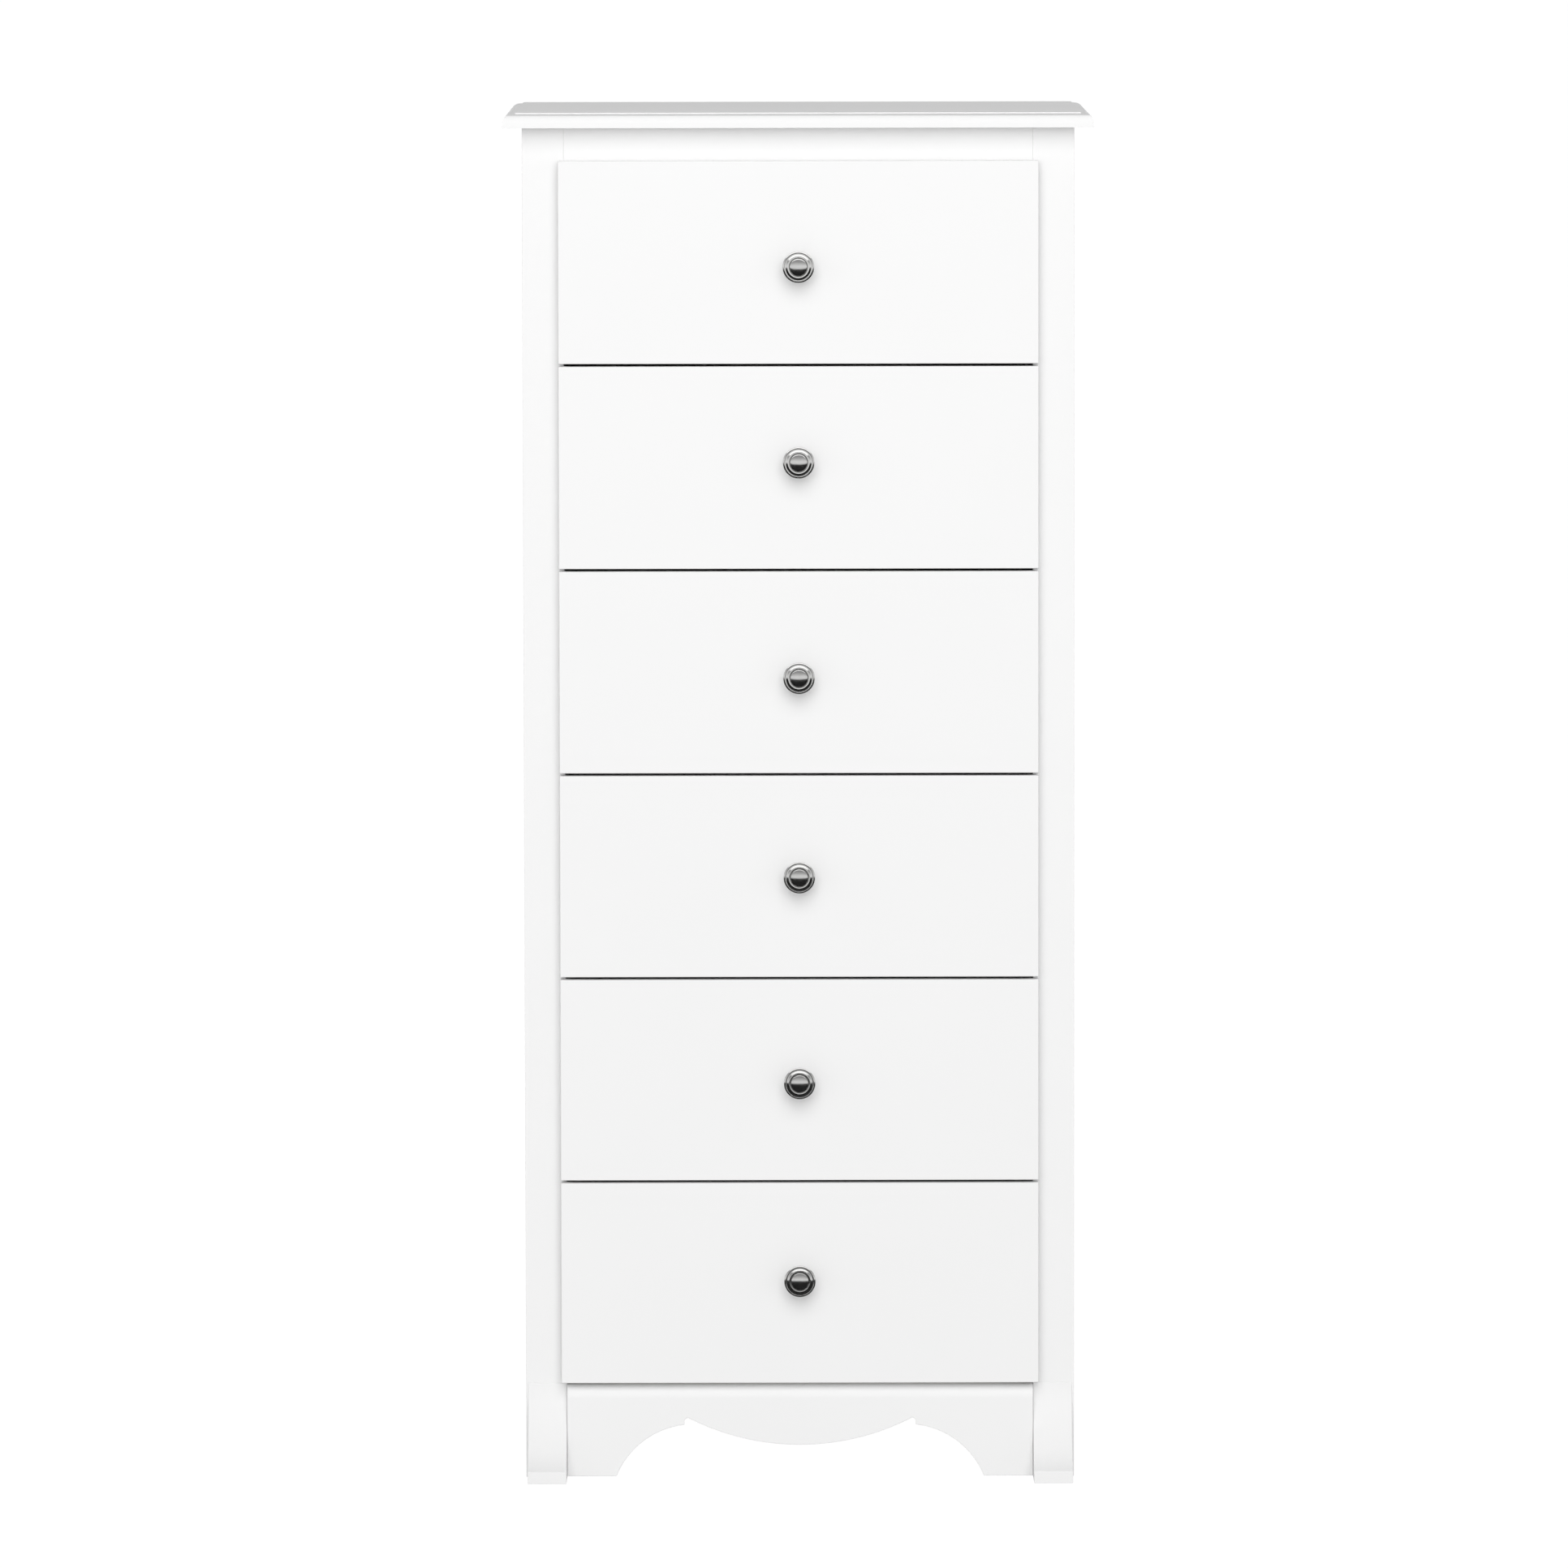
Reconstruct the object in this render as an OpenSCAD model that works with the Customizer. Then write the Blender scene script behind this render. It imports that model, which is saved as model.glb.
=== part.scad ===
// Tall chest of six drawers: moulded top, framed case, scalloped apron and flared feet.
// Millimetres. X runs to the right, the drawers open towards -Y and +Z is up.
// The origin is on the floor, in the middle of the overall width and depth.

/* [Overall] */
// Width of the top, the widest piece
top_w = 590; // [480:1:800]
// Depth of the top, front to back
top_d = 410; // [320:1:560]
// Overall height
total_h = 1374; // [1000:1:1700]
// Number of drawers, one above the other
drawer_count = 6; // [3:1:6]

/* [Top] */
// Thickness of the top
top_t = 15; // [14:0.5:30]
// How far the top stands out past each side of the case
side_overhang = 19; // [5:0.5:40]
// How far the top stands out past the stiles at the front
front_overhang = 22; // [18:0.5:40]
// Radius of the quarter round on the edge of the top
ovolo_r = 9; // [4:0.5:10]
// Width of the flat shelf above the quarter round
ovolo_shelf = 3.7; // [1:0.1:8]
// Height of the step from the shelf up to the flat of the top
ovolo_step = 1.2; // [0.5:0.1:3]

/* [Case] */
// Width of each front stile
stile_w = 41.5; // [30:0.5:60]
// Thickness of the stiles and the rails at the front
frame_t = 18; // [15:0.5:25]
// Thickness of the side panels
side_t = 16; // [12:0.5:22]
// Height of the top rail
top_rail_h = 44; // [32:1:60]
// How much of the top rail shows above the top drawer
rail_reveal = 33; // [20:1:44]
// Height of the bottom rail, behind the apron
bottom_rail_h = 28; // [15:1:30]
// Height of each of the two rails at the back
rear_rail_h = 60; // [30:1:90]
// Thickness of the two rails at the back
rear_rail_t = 16; // [12:0.5:22]
// Thickness of the back panel
back_t = 3; // [2:0.5:6]
// Width of the rebate that takes the back panel in each side panel
rebate_w = 8; // [4:0.5:12]
// Height of the back panel above the floor
back_lift = 60; // [20:1:80]
// Height of the arch in the bottom edge of each side panel
side_arch_rise = 35; // [10:1:60]
// Length of the side panel's flat foot at the front
side_foot_front = 45; // [20:1:90]
// Length of the side panel's flat foot at the back
side_foot_back = 60; // [20:1:90]
// Height of the strips that carry the runners
bearer_h = 40; // [30:1:60]

/* [Apron] */
// Height of the apron's top edge above the floor
apron_top = 94.5; // [92:0.5:130]
// Gap between the floor and the flats at the ends of the apron
apron_floor_gap = 2.4; // [1:0.1:10]
// Thickness of the apron
apron_t = 16; // [14:0.5:22]
// How far the apron stands out past the stiles
apron_proud = 13; // [2:0.5:13.5]
// Radius of the round on the top front edge of the apron
apron_round = 13; // [2:0.5:13.5]
// Length of each flat at the ends of the apron
apron_flat = 49.5; // [20:0.5:60]
// Width of each side arch
arch_w = 68.5; // [40:0.5:80]
// Height of the cusp where a side arch meets the middle drop
cusp_z = 54.5; // [40:0.5:57]
// Radius of the side arches
arch_r = 84; // [60:0.5:140]
// Height of the top of the notch beside the middle drop
notch_z = 61.4; // [58:0.1:64]
// Radius in the corner of the notch
notch_r = 3.8; // [1:0.1:5]
// Height of the lowest point of the middle drop
drop_z = 34; // [15:0.5:45]

/* [Feet] */
// Height of the flared feet
foot_h = 95.5; // [75:0.5:110]
// How far the toes reach in front of the stiles
toe_reach = 52; // [30:0.5:60]
// Height of the toe's upright face
toe_h = 12; // [4:0.5:20]
// Thickness of a foot at its top
foot_lip = 1; // [0.5:0.1:4]
// How far the outer side of a foot stays in from the outer side of the case
foot_inset = 2.1; // [0.5:0.1:6]
// Gap between the inner side of a foot and the end of the apron
foot_gap = 0.3; // [0.1:0.1:6]

/* [Drawer fronts] */
// Thickness of the drawer fronts
front_t = 16; // [14:0.5:20]
// How far a drawer front laps over each stile
front_lap = 5.5; // [2:0.5:15]
// Gap between one drawer front and the next
front_gap = 2.7; // [1.5:0.1:6]
// Gap between the lowest drawer front and the apron
apron_gap = 3; // [1.5:0.1:8]
// Gap between the back of a drawer front and the stiles
front_stand_off = 1.5; // [0.5:0.1:3]

/* [Drawer boxes] */
// Gap between the top rail and the top drawer's box below it
box_clear = 28.5; // [5:0.5:60]
// Thickness of the sides and back of a drawer box
box_t = 12; // [11:0.5:16]
// Height of a box's bottom edge above the bottom edge of its front
box_lift = 16; // [12:0.5:25]
// Thickness of a drawer bottom
floor_t = 3; // [2:0.5:6]
// Height of a drawer bottom above the bottom edge of its box
floor_lift = 10; // [6:0.5:20]
// Depth of the groove that holds a drawer bottom
groove_d = 5; // [3:0.5:8]
// Slack of a drawer bottom in its groove, on each side
groove_slack = 0.1; // [0.05:0.05:0.5]

/* [Runners] */
// Gap between a drawer box and the case on each side
runner_gap = 12.7; // [12.5:0.1:14]
// Thickness of the runners' sheet steel
steel_t = 1.2; // [1:0.1:1.5]
// Diameter of the rollers
roller_d = 19; // [16:0.5:20]
// Width of the rollers
roller_w = 6.5; // [5:0.1:7]
// Diameter of the rollers' pins
pin_d = 5; // [4:0.5:6]
// Diametral slack of a roller on its pin
pin_slack = 0.2; // [0.1:0.05:0.4]
// Air between a roller and the steel it runs on
roll_air = 0.3; // [0.2:0.05:0.5]

/* [Knobs] */
// Diameter of the knobs
knob_d = 31.8; // [20:0.1:45]
// How far a knob stands out from its drawer front
knob_reach = 25; // [18:0.5:40]
// Diameter of a knob's base on the drawer front
knob_base_d = 16; // [10:0.5:22]
// Diameter of a knob's neck
knob_neck_d = 12; // [9:0.5:18]
// Diameter of the screw that holds a knob
knob_screw_d = 4; // [3:0.5:5]
// Height of each knob above the middle of its drawer front, from the top drawer down
knob_shift = [-4, 6, -4.5, 0.5, -1.5, 4];

/* [Hidden] */
$fn = 96;
case_nodes = ["top_panel", "left_side_panel", "right_side_panel", "left_stile", "right_stile",
              "left_foot", "right_foot", "top_rail", "bottom_rail", "apron", "rear_rails",
              "back_panel", "left_bearers", "right_bearers", "case_runners", "case_fasteners"];
drawer_pieces = ["front", "box", "bottom", "knob", "fittings", "rollers"];

// Extra reach of a cut past the face it opens
over = 1;
// Radial slack of a screw, pin or cam in its hole
hole_slack = 0.05;

// Case: planes from front to back, and heights
case_w = top_w - 2 * side_overhang;
case_d = top_d - front_overhang;
opening_w = case_w - 2 * stile_w;
total_d = case_d + toe_reach;
back_y = total_d / 2;
face_y = back_y - case_d;
frame_back_y = face_y + frame_t;
back_panel_y = back_y - back_t;
rear_rail_y = back_panel_y - rear_rail_t;
top_under_z = total_h - top_t;
side_in_x = case_w / 2 - side_t;
opening_x = opening_w / 2;

// Drawer fronts and boxes
front_w = opening_w + 2 * front_lap;
fronts_top_z = top_under_z - rail_reveal;
fronts_low_z = apron_top + apron_gap;
front_h = (fronts_top_z - fronts_low_z - (drawer_count - 1) * front_gap) / drawer_count;
front_back_y = face_y - front_stand_off;
front_y = front_back_y - front_t;
box_w = opening_w - 2 * runner_gap;
box_h = front_h - box_lift - (top_rail_h - rail_reveal) - box_clear;
box_x = box_w / 2;
box_in_x = box_x - box_t;

// Runners come in stock lengths, and the longest that leaves room behind the drawer is used
stock_step = 50;
room_behind = 30;
runner_len = stock_step * floor((case_d - room_behind) / stock_step);
runner_y = face_y + 2;
box_back_y = front_back_y + runner_len;

// Runner section, measured from the bottom edge of the drawer box
roller_r = roller_d / 2;
flange_z = 12;
roller_z = flange_z - roll_air - roller_r;
channel_low_z = roller_z - roller_r - roll_air;
channel_high_z = flange_z + steel_t + 0.6;
channel_h = channel_high_z - channel_low_z + 2 * steel_t;
channel_in_x = box_x + 2;
web_x = opening_x - steel_t;
// Air between the outer face of a roller and the web of the case runner
roller_side_air = 1.2;
roller_out_x = web_x - roller_side_air;
roller_in_x = roller_out_x - roller_w;
pin_head_d = pin_d + 3;
pin_head_t = 1;
roller_end = 14;
case_roller_y = runner_y + roller_end;
drawer_roller_y = box_back_y - roller_end;

// Fasteners
cam_d = 15;
// Wall left behind a cam in the side of a box
cam_wall = 2.5;
cam_depth = box_t - cam_wall;
cam_from_end = 24;
cam_heights = [0.25 * box_h, 0.75 * box_h];
cam_slot = [1.2, 9, 1.2];
bolt_d = 5;
bolt_bite = 11;
screw_d = 3.5;
screw_head_d = 7;
screw_head_t = 0.9;
screw_len = 14;
runner_screw_from_front = 37;
runner_screw_from_back = 60;
runner_screw_ys = [runner_y + runner_screw_from_front, runner_y + runner_len - runner_screw_from_back];
bracket_leg = 24;
bracket_w = 20;
bracket_t = 2;
bracket_ys = [frame_back_y + 40, rear_rail_y - 60];

function front_z(n) = fronts_top_z - n * front_h - (n - 1) * front_gap;
function box_z(n) = front_z(n) + box_lift;
function knob_z(n) = front_z(n) + front_h / 2 + knob_shift[n - 1];
// Radius of the arc that rises by rise over half a chord
function arc_r(half, rise) = (half * half + rise * rise) / (2 * rise);
// Centre of the circle of radius r through p and q, on the right hand side going from p to q
function arc_centre(p, q, r) =
    let (d = q - p, gap = norm(d), off = sqrt(r * r - gap * gap / 4))
    (p + q) / 2 + off / gap * [d[1], -d[0]];

module on_left() { mirror([1, 0, 0]) children(); }
module both_sides() {
    children();
    on_left() children();
}
// A box from one corner to the opposite one
module block(low, high) { translate(low) cube(high - low); }
// An outline in X and Z, pushed from y0 back to y1
module push_back(y0, y1) { translate([0, y1, 0]) rotate([90, 0, 0]) linear_extrude(y1 - y0) children(); }
// An outline in Y and Z, pushed from x0 to x1
module push_right(x0, x1) {
    translate([x0, 0, 0]) rotate([90, 0, 90]) linear_extrude(x1 - x0) children();
}
// A round bar along X, Y or Z
module bar_x(x0, x1, d) { translate([x0, 0, 0]) rotate([0, 90, 0]) cylinder(d = d, h = x1 - x0); }
module bar_y(y0, y1, d) { translate([0, y1, 0]) rotate([90, 0, 0]) cylinder(d = d, h = y1 - y0); }

// ---- Case ----

// One end of the top's section: the edge is at 0 and the slab runs to the right
module moulded_edge(length) {
    ovolo_z = top_t - ovolo_step - ovolo_r;
    square([length, ovolo_z]);
    translate([ovolo_r, 0]) square([length - ovolo_r, ovolo_z + ovolo_r]);
    translate([ovolo_r + ovolo_shelf, 0]) square([length - ovolo_r - ovolo_shelf, top_t]);
    intersection() {
        translate([ovolo_r, ovolo_z]) circle(ovolo_r);
        translate([0, ovolo_z]) square(ovolo_r);
    }
}

module top_panel() {
    color("#f3f3f1") translate([0, 0, top_under_z]) intersection() {
        push_right(-top_w / 2, top_w / 2) translate([back_y - top_d, 0]) moulded_edge(top_d);
        push_back(back_y - top_d, back_y) {
            translate([-top_w / 2, 0]) moulded_edge(top_w / 2);
            mirror([1, 0]) translate([-top_w / 2, 0]) moulded_edge(top_w / 2);
        }
    }
}

module side_panel() {
    arch_half = (back_y - frame_back_y - side_foot_front - side_foot_back) / 2;
    arch_mid_y = frame_back_y + side_foot_front + arch_half;
    side_arch_r = arc_r(arch_half, side_arch_rise);
    color("#efefed") difference() {
        block([side_in_x, frame_back_y, 0], [case_w / 2, back_y, top_under_z]);
        block([side_in_x - over, back_panel_y, -over], [side_in_x + rebate_w, back_y + over, top_under_z + over]);
        translate([0, arch_mid_y, side_arch_rise - side_arch_r])
            bar_x(side_in_x - over, case_w / 2 + over, 2 * side_arch_r);
        for (y = bracket_ys)
            translate([0, y, top_under_z - bracket_leg / 2])
                bar_x(side_in_x - over, side_in_x + screw_len - bracket_t, screw_d + 2 * hole_slack);
    }
}

module stile() {
    color("#f5f5f3") block([opening_x, face_y, 0], [case_w / 2, frame_back_y, top_under_z]);
}

module foot() {
    flare = arc_r(foot_h - toe_h, toe_reach - foot_lip);
    color("#f6f6f4") translate([opening_x + foot_gap, face_y, 0])
        push_right(0, stile_w - foot_gap - foot_inset) difference() {
            translate([-toe_reach, 0]) square([toe_reach, foot_h]);
            translate([-foot_lip - flare, foot_h]) circle(flare);
        }
}

module top_rail() {
    color("#f4f4f2")
        block([-opening_x, face_y, top_under_z - top_rail_h], [opening_x, frame_back_y, top_under_z]);
}

module bottom_rail() {
    apron_back_y = face_y - apron_proud + apron_t;
    color("#ececea")
        block([-opening_x, apron_back_y, apron_top - bottom_rail_h], [opening_x, apron_back_y + frame_t, apron_top]);
}

// What is cut out under one half of the apron, with the middle at X = 0
module half_scallop() {
    drop_x = opening_x - apron_flat - arch_w;
    arch_end = [opening_x - apron_flat, apron_floor_gap];
    cusp = [drop_x, cusp_z];
    centre = arc_centre(cusp, arch_end, arch_r);
    drop_r = arc_r(drop_x - notch_r, notch_z - drop_z);
    intersection() {
        translate(centre) circle(arch_r);
        translate([drop_x - over, -over]) square([arch_w + over, cusp_z + arch_r]);
    }
    difference() {
        union() {
            translate([-over, -over]) square([drop_x + over, notch_z - notch_r + over]);
            translate([-over, -over]) square([drop_x - notch_r + over, notch_z + over]);
            translate([drop_x - notch_r, notch_z - notch_r]) circle(notch_r);
        }
        translate([0, drop_z + drop_r]) circle(drop_r);
    }
}

module apron() {
    front = face_y - apron_proud;
    color("#f0f0ee") intersection() {
        push_back(front - over, front + apron_t + over) difference() {
            translate([-opening_x, apron_floor_gap]) square([opening_w, apron_top - apron_floor_gap]);
            half_scallop();
            mirror([1, 0]) half_scallop();
        }
        push_right(-opening_x - over, opening_x + over) translate([front, 0]) {
            square([apron_t, apron_top - apron_round]);
            translate([apron_round, 0]) square([apron_t - apron_round, apron_top]);
            intersection() {
                translate([apron_round, apron_top - apron_round]) circle(apron_round);
                translate([0, apron_top - apron_round]) square(apron_round);
            }
        }
    }
}

module rear_rails() {
    color("#e2d6bf") for (z = [back_lift, top_under_z - rear_rail_h])
        block([-side_in_x, rear_rail_y, z], [side_in_x, back_panel_y, z + rear_rail_h]);
}

module back_panel() {
    edge_x = side_in_x + rebate_w - groove_slack;
    color("#e9e7e1") block([-edge_x, back_panel_y, back_lift], [edge_x, back_y, top_under_z]);
}

// The strip behind one stile that carries a drawer's case runner
module bearer(n) {
    low = box_z(n) + channel_low_z - steel_t - (bearer_h - channel_h) / 2;
    difference() {
        block([opening_x, frame_back_y, low], [side_in_x, rear_rail_y, low + bearer_h]);
        for (y = runner_screw_ys)
            translate([0, y, box_z(n) + roller_z])
                bar_x(opening_x - over, opening_x + screw_len, screw_d + 2 * hole_slack);
    }
}

module bearers() { color("#e2d6bf") for (n = [1 : drawer_count]) bearer(n); }

// The steel channel that is screwed to the case, with the pin of its front roller
module case_runner(n) {
    flange_y = case_roller_y + roller_end;
    end_y = runner_y + runner_len;
    difference() {
        translate([0, 0, box_z(n)]) {
            block([web_x, runner_y, channel_low_z - steel_t], [opening_x, end_y, channel_high_z + steel_t]);
            block([channel_in_x, flange_y, channel_low_z - steel_t], [opening_x, end_y, channel_low_z]);
            block([channel_in_x, runner_y, channel_high_z], [opening_x, end_y, channel_high_z + steel_t]);
        }
        for (y = runner_screw_ys)
            translate([0, y, box_z(n) + roller_z])
                bar_x(web_x - over, opening_x + over, screw_d + 2 * hole_slack);
    }
    translate([0, case_roller_y, box_z(n) + roller_z]) {
        bar_x(roller_in_x, opening_x - steel_t / 2, pin_d);
        bar_x(roller_in_x, roller_in_x + pin_head_t, pin_head_d);
        bar_x(roller_out_x + pin_slack, opening_x - steel_t / 2, pin_head_d);
    }
}

module case_runners() {
    color("#fafafa") both_sides() for (n = [1 : drawer_count]) case_runner(n);
}

// A screw that points to the right from the plane X = 0, its head to the left of that plane
module screw_right() {
    bar_x(-screw_head_t, 0, screw_head_d);
    bar_x(-screw_head_t / 2, screw_len - over, screw_d);
}

// An angle under the top, against a side panel, and its two screws
module top_bracket() {
    translate([side_in_x, -bracket_w / 2, top_under_z]) difference() {
        union() {
            block([-bracket_t, 0, -bracket_leg], [0, bracket_w, 0]);
            block([-bracket_leg, 0, -bracket_t], [0, bracket_w, 0]);
        }
        translate([0, bracket_w / 2, -bracket_leg / 2])
            bar_x(-bracket_leg, over, screw_d + 2 * hole_slack);
    }
    translate([side_in_x - bracket_t, 0, top_under_z - bracket_leg / 2]) screw_right();
}

module case_fasteners() {
    color("#c9ccd0") both_sides() {
        for (y = bracket_ys) translate([0, y, 0]) top_bracket();
        for (n = [1 : drawer_count], y = runner_screw_ys)
            translate([web_x, y, box_z(n) + roller_z]) screw_right();
    }
}

// A nylon roller between two planes in X, with a recess for the head of its pin
module roller(head_on_right) {
    head_x = head_on_right ? roller_out_x - pin_head_t : roller_in_x - over;
    difference() {
        bar_x(roller_in_x, roller_out_x, roller_d);
        bar_x(roller_in_x - over, roller_out_x + over, pin_d + pin_slack);
        translate([head_x, 0, 0])
            bar_x(-pin_slack * (head_on_right ? 1 : 0), pin_head_t + over + (head_on_right ? 0 : pin_slack),
                  pin_head_d + 2 * pin_slack);
    }
}

module case_rollers(n) {
    color("#fdfdfd") both_sides() translate([0, case_roller_y, box_z(n) + roller_z]) roller(false);
}

// ---- Drawers ----

// Everything a drawer front is drilled for: its knob's screw and the bolts to its box
module drawer_front(n) {
    color("#f6f6f4") difference() {
        block([-front_w / 2, front_y, front_z(n)], [front_w / 2, front_back_y, front_z(n) + front_h]);
        translate([0, 0, knob_z(n)])
            bar_y(front_y - over, front_back_y + over, knob_screw_d + 2 * hole_slack);
        block([-box_in_x - groove_d, front_back_y - groove_d, box_z(n) + floor_lift - groove_slack],
              [box_in_x + groove_d, front_back_y + over, box_z(n) + floor_lift + floor_t + groove_slack]);
        both_sides() for (z = cam_heights)
            translate([box_x - box_t / 2, 0, box_z(n) + z])
                bar_y(front_back_y - bolt_bite - hole_slack, front_back_y + over, bolt_d + 2 * hole_slack);
    }
}

module box_side(n) {
    difference() {
        block([box_in_x, front_back_y, box_z(n)], [box_x, box_back_y, box_z(n) + box_h]);
        block([box_in_x - over, front_back_y - over, box_z(n) + floor_lift - groove_slack],
              [box_in_x + groove_d, box_back_y - box_t + groove_d, box_z(n) + floor_lift + floor_t + groove_slack]);
        for (z = cam_heights) translate([0, 0, box_z(n) + z]) {
            translate([0, front_back_y + cam_from_end, 0])
                bar_x(box_in_x - over, box_in_x + cam_depth, cam_d + 2 * hole_slack);
            translate([box_x - box_t / 2, 0, 0])
                bar_y(front_back_y - over, front_back_y + cam_from_end, bolt_d + 2 * hole_slack);
        }
    }
}

module box_back(n) {
    difference() {
        block([-box_in_x, box_back_y - box_t, box_z(n)], [box_in_x, box_back_y, box_z(n) + box_h]);
        block([-box_in_x - over, box_back_y - box_t - over, box_z(n) + floor_lift - groove_slack],
              [box_in_x + over, box_back_y - box_t + groove_d, box_z(n) + floor_lift + floor_t + groove_slack]);
    }
}

module drawer_box(n) {
    color("#f1f0ec") {
        both_sides() box_side(n);
        box_back(n);
    }
}

module drawer_bottom(n) {
    edge_x = box_in_x + groove_d - groove_slack;
    color("#eceae4") block(
        [-edge_x, front_back_y - groove_d + groove_slack, box_z(n) + floor_lift],
        [edge_x, box_back_y - box_t + groove_d - groove_slack, box_z(n) + floor_lift + floor_t]);
}

// Section of a knob: radius across, height above the drawer front up
module knob_section() {
    knob_r = knob_d / 2;
    rim_z = knob_reach - 5;
    polygon([
        [0, 0], [knob_base_d / 2, 0], [knob_base_d / 2, 1.5], [knob_neck_d / 2, 3.5],
        [knob_neck_d / 2, rim_z - 8], [knob_neck_d / 2 + 2, rim_z - 4], [knob_r - 1, rim_z - 1.5],
        [knob_r, rim_z], [knob_r, rim_z + 1.6], [knob_r - 0.6, rim_z + 2.2], [knob_r - 1.2, rim_z + 1.8],
        [knob_r - 1.7, rim_z + 1], [knob_r - 2.3, rim_z + 1.8], [knob_r - 3, rim_z + 2.8],
        [knob_r - 3.6, rim_z + 2.6], [knob_r - 4.2, rim_z + 1.4], [knob_r - 5, rim_z + 1.2],
        [knob_r - 5.8, rim_z + 2.4], [knob_r - 6.6, rim_z + 3.2], [knob_r / 2 - 1, rim_z + 4.4],
        [knob_r / 4, rim_z + 4.9], [0, rim_z + 5]
    ]);
}

// The knob, and the machine screw that reaches it through the drawer front
module drawer_knob(n) {
    screw_end = front_y - 12;
    color("#bfc1c3") translate([0, 0, knob_z(n)]) {
        difference() {
            translate([0, front_y, 0]) rotate([90, 0, 0]) rotate_extrude() knob_section();
            bar_y(screw_end - hole_slack, front_y + over, knob_screw_d + 2 * hole_slack);
        }
        bar_y(screw_end, front_back_y + over, knob_screw_d);
        bar_y(front_back_y, front_back_y + 2.6, 2 * knob_screw_d);
    }
}

// The steel angle under one side of the box, with the pin of its roller at the back
module drawer_runner(n) {
    end_y = box_back_y;
    start_y = front_back_y + 0.5;
    translate([0, 0, box_z(n)]) {
        block([box_x, start_y, -steel_t], [box_x + steel_t, end_y, flange_z + steel_t]);
        block([box_in_x, start_y, -steel_t], [box_x + steel_t, end_y, 0]);
        block([box_x, start_y, flange_z], [web_x - 0.7, end_y, flange_z + steel_t]);
        translate([0, drawer_roller_y, roller_z]) {
            bar_x(box_x + steel_t / 2, roller_out_x, pin_d);
            bar_x(roller_out_x - pin_head_t, roller_out_x, pin_head_d);
            bar_x(box_x + steel_t / 2, roller_in_x - pin_slack, pin_head_d);
        }
    }
}

// A cam in the side of the box and the bolt that it draws the front on with
module cam_lock(n, z) {
    translate([0, 0, box_z(n) + z]) {
        translate([0, front_back_y + cam_from_end, 0]) difference() {
            bar_x(box_in_x, box_in_x + cam_depth - hole_slack, cam_d);
            for (turn = [0, 90]) rotate([turn, 0, 0])
                translate([box_in_x, 0, 0]) cube([2 * cam_slot[0], cam_slot[1], cam_slot[2]], center = true);
        }
        translate([box_x - box_t / 2, 0, 0])
            bar_y(front_back_y - bolt_bite, front_back_y + cam_from_end - cam_d / 2 - 2 * hole_slack, bolt_d);
    }
}

module drawer_fittings(n) {
    color("#d9dbdd") both_sides() {
        drawer_runner(n);
        for (z = cam_heights) cam_lock(n, z);
    }
}

module drawer_rollers(n) {
    color("#fdfdfd") both_sides() translate([0, drawer_roller_y, box_z(n) + roller_z]) roller(true);
}

top_panel();
on_left() side_panel();  // left_side_panel
side_panel();  // right_side_panel
on_left() stile();  // left_stile
stile();  // right_stile
on_left() foot();  // left_foot
foot();  // right_foot
top_rail();
bottom_rail();
apron();
rear_rails();
back_panel();
on_left() bearers();  // left_bearers
bearers();  // right_bearers
case_runners();
case_fasteners();
for (n = [1 : drawer_count]) {
    drawer_front(n);
    drawer_box(n);
    drawer_bottom(n);
    drawer_knob(n);
    drawer_fittings(n);
    drawer_rollers(n);
    case_rollers(n);
}
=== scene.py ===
# %% [markdown]
# # A tall chest of six drawers
# The chest is a white painted case with a moulded top, six flat drawer fronts, a scalloped
# apron and two flared feet. Its drawers run on steel runners with nylon rollers. The CAD
# model already fixes every size, so this lesson only makes the looks: softened edges,
# turned knobs, paint, planed wood, coated steel and a plain studio around them.

# %% Load the fixed frame
from math import atan2, hypot, pi, radians, sqrt

import bmesh
import bpy
from mathutils import Matrix, Vector


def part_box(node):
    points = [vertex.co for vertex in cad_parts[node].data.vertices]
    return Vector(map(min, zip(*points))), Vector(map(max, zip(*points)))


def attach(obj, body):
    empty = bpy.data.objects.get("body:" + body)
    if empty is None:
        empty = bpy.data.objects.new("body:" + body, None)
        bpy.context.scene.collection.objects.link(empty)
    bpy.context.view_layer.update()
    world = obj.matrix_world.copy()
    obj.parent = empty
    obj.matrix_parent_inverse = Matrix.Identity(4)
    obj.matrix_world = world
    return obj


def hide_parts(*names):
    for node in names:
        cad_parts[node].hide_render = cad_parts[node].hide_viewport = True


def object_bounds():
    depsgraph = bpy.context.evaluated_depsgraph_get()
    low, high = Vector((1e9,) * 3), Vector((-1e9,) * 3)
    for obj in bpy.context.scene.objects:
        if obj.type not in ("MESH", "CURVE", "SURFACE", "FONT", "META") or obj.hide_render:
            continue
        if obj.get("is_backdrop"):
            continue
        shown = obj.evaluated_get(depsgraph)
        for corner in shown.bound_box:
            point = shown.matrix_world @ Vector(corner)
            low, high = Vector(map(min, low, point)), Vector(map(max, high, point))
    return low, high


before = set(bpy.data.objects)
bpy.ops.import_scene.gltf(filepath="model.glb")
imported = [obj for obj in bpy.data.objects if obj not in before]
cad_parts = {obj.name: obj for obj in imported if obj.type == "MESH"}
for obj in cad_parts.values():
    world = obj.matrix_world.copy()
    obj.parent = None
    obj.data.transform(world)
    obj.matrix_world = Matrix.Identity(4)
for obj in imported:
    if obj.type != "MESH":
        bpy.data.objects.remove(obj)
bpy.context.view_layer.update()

# %% Millimetres
MM = 0.001
DRAWERS = range(1, 1 + sum(node.endswith("_front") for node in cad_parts))
print("drawers:", len(DRAWERS))

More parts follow.
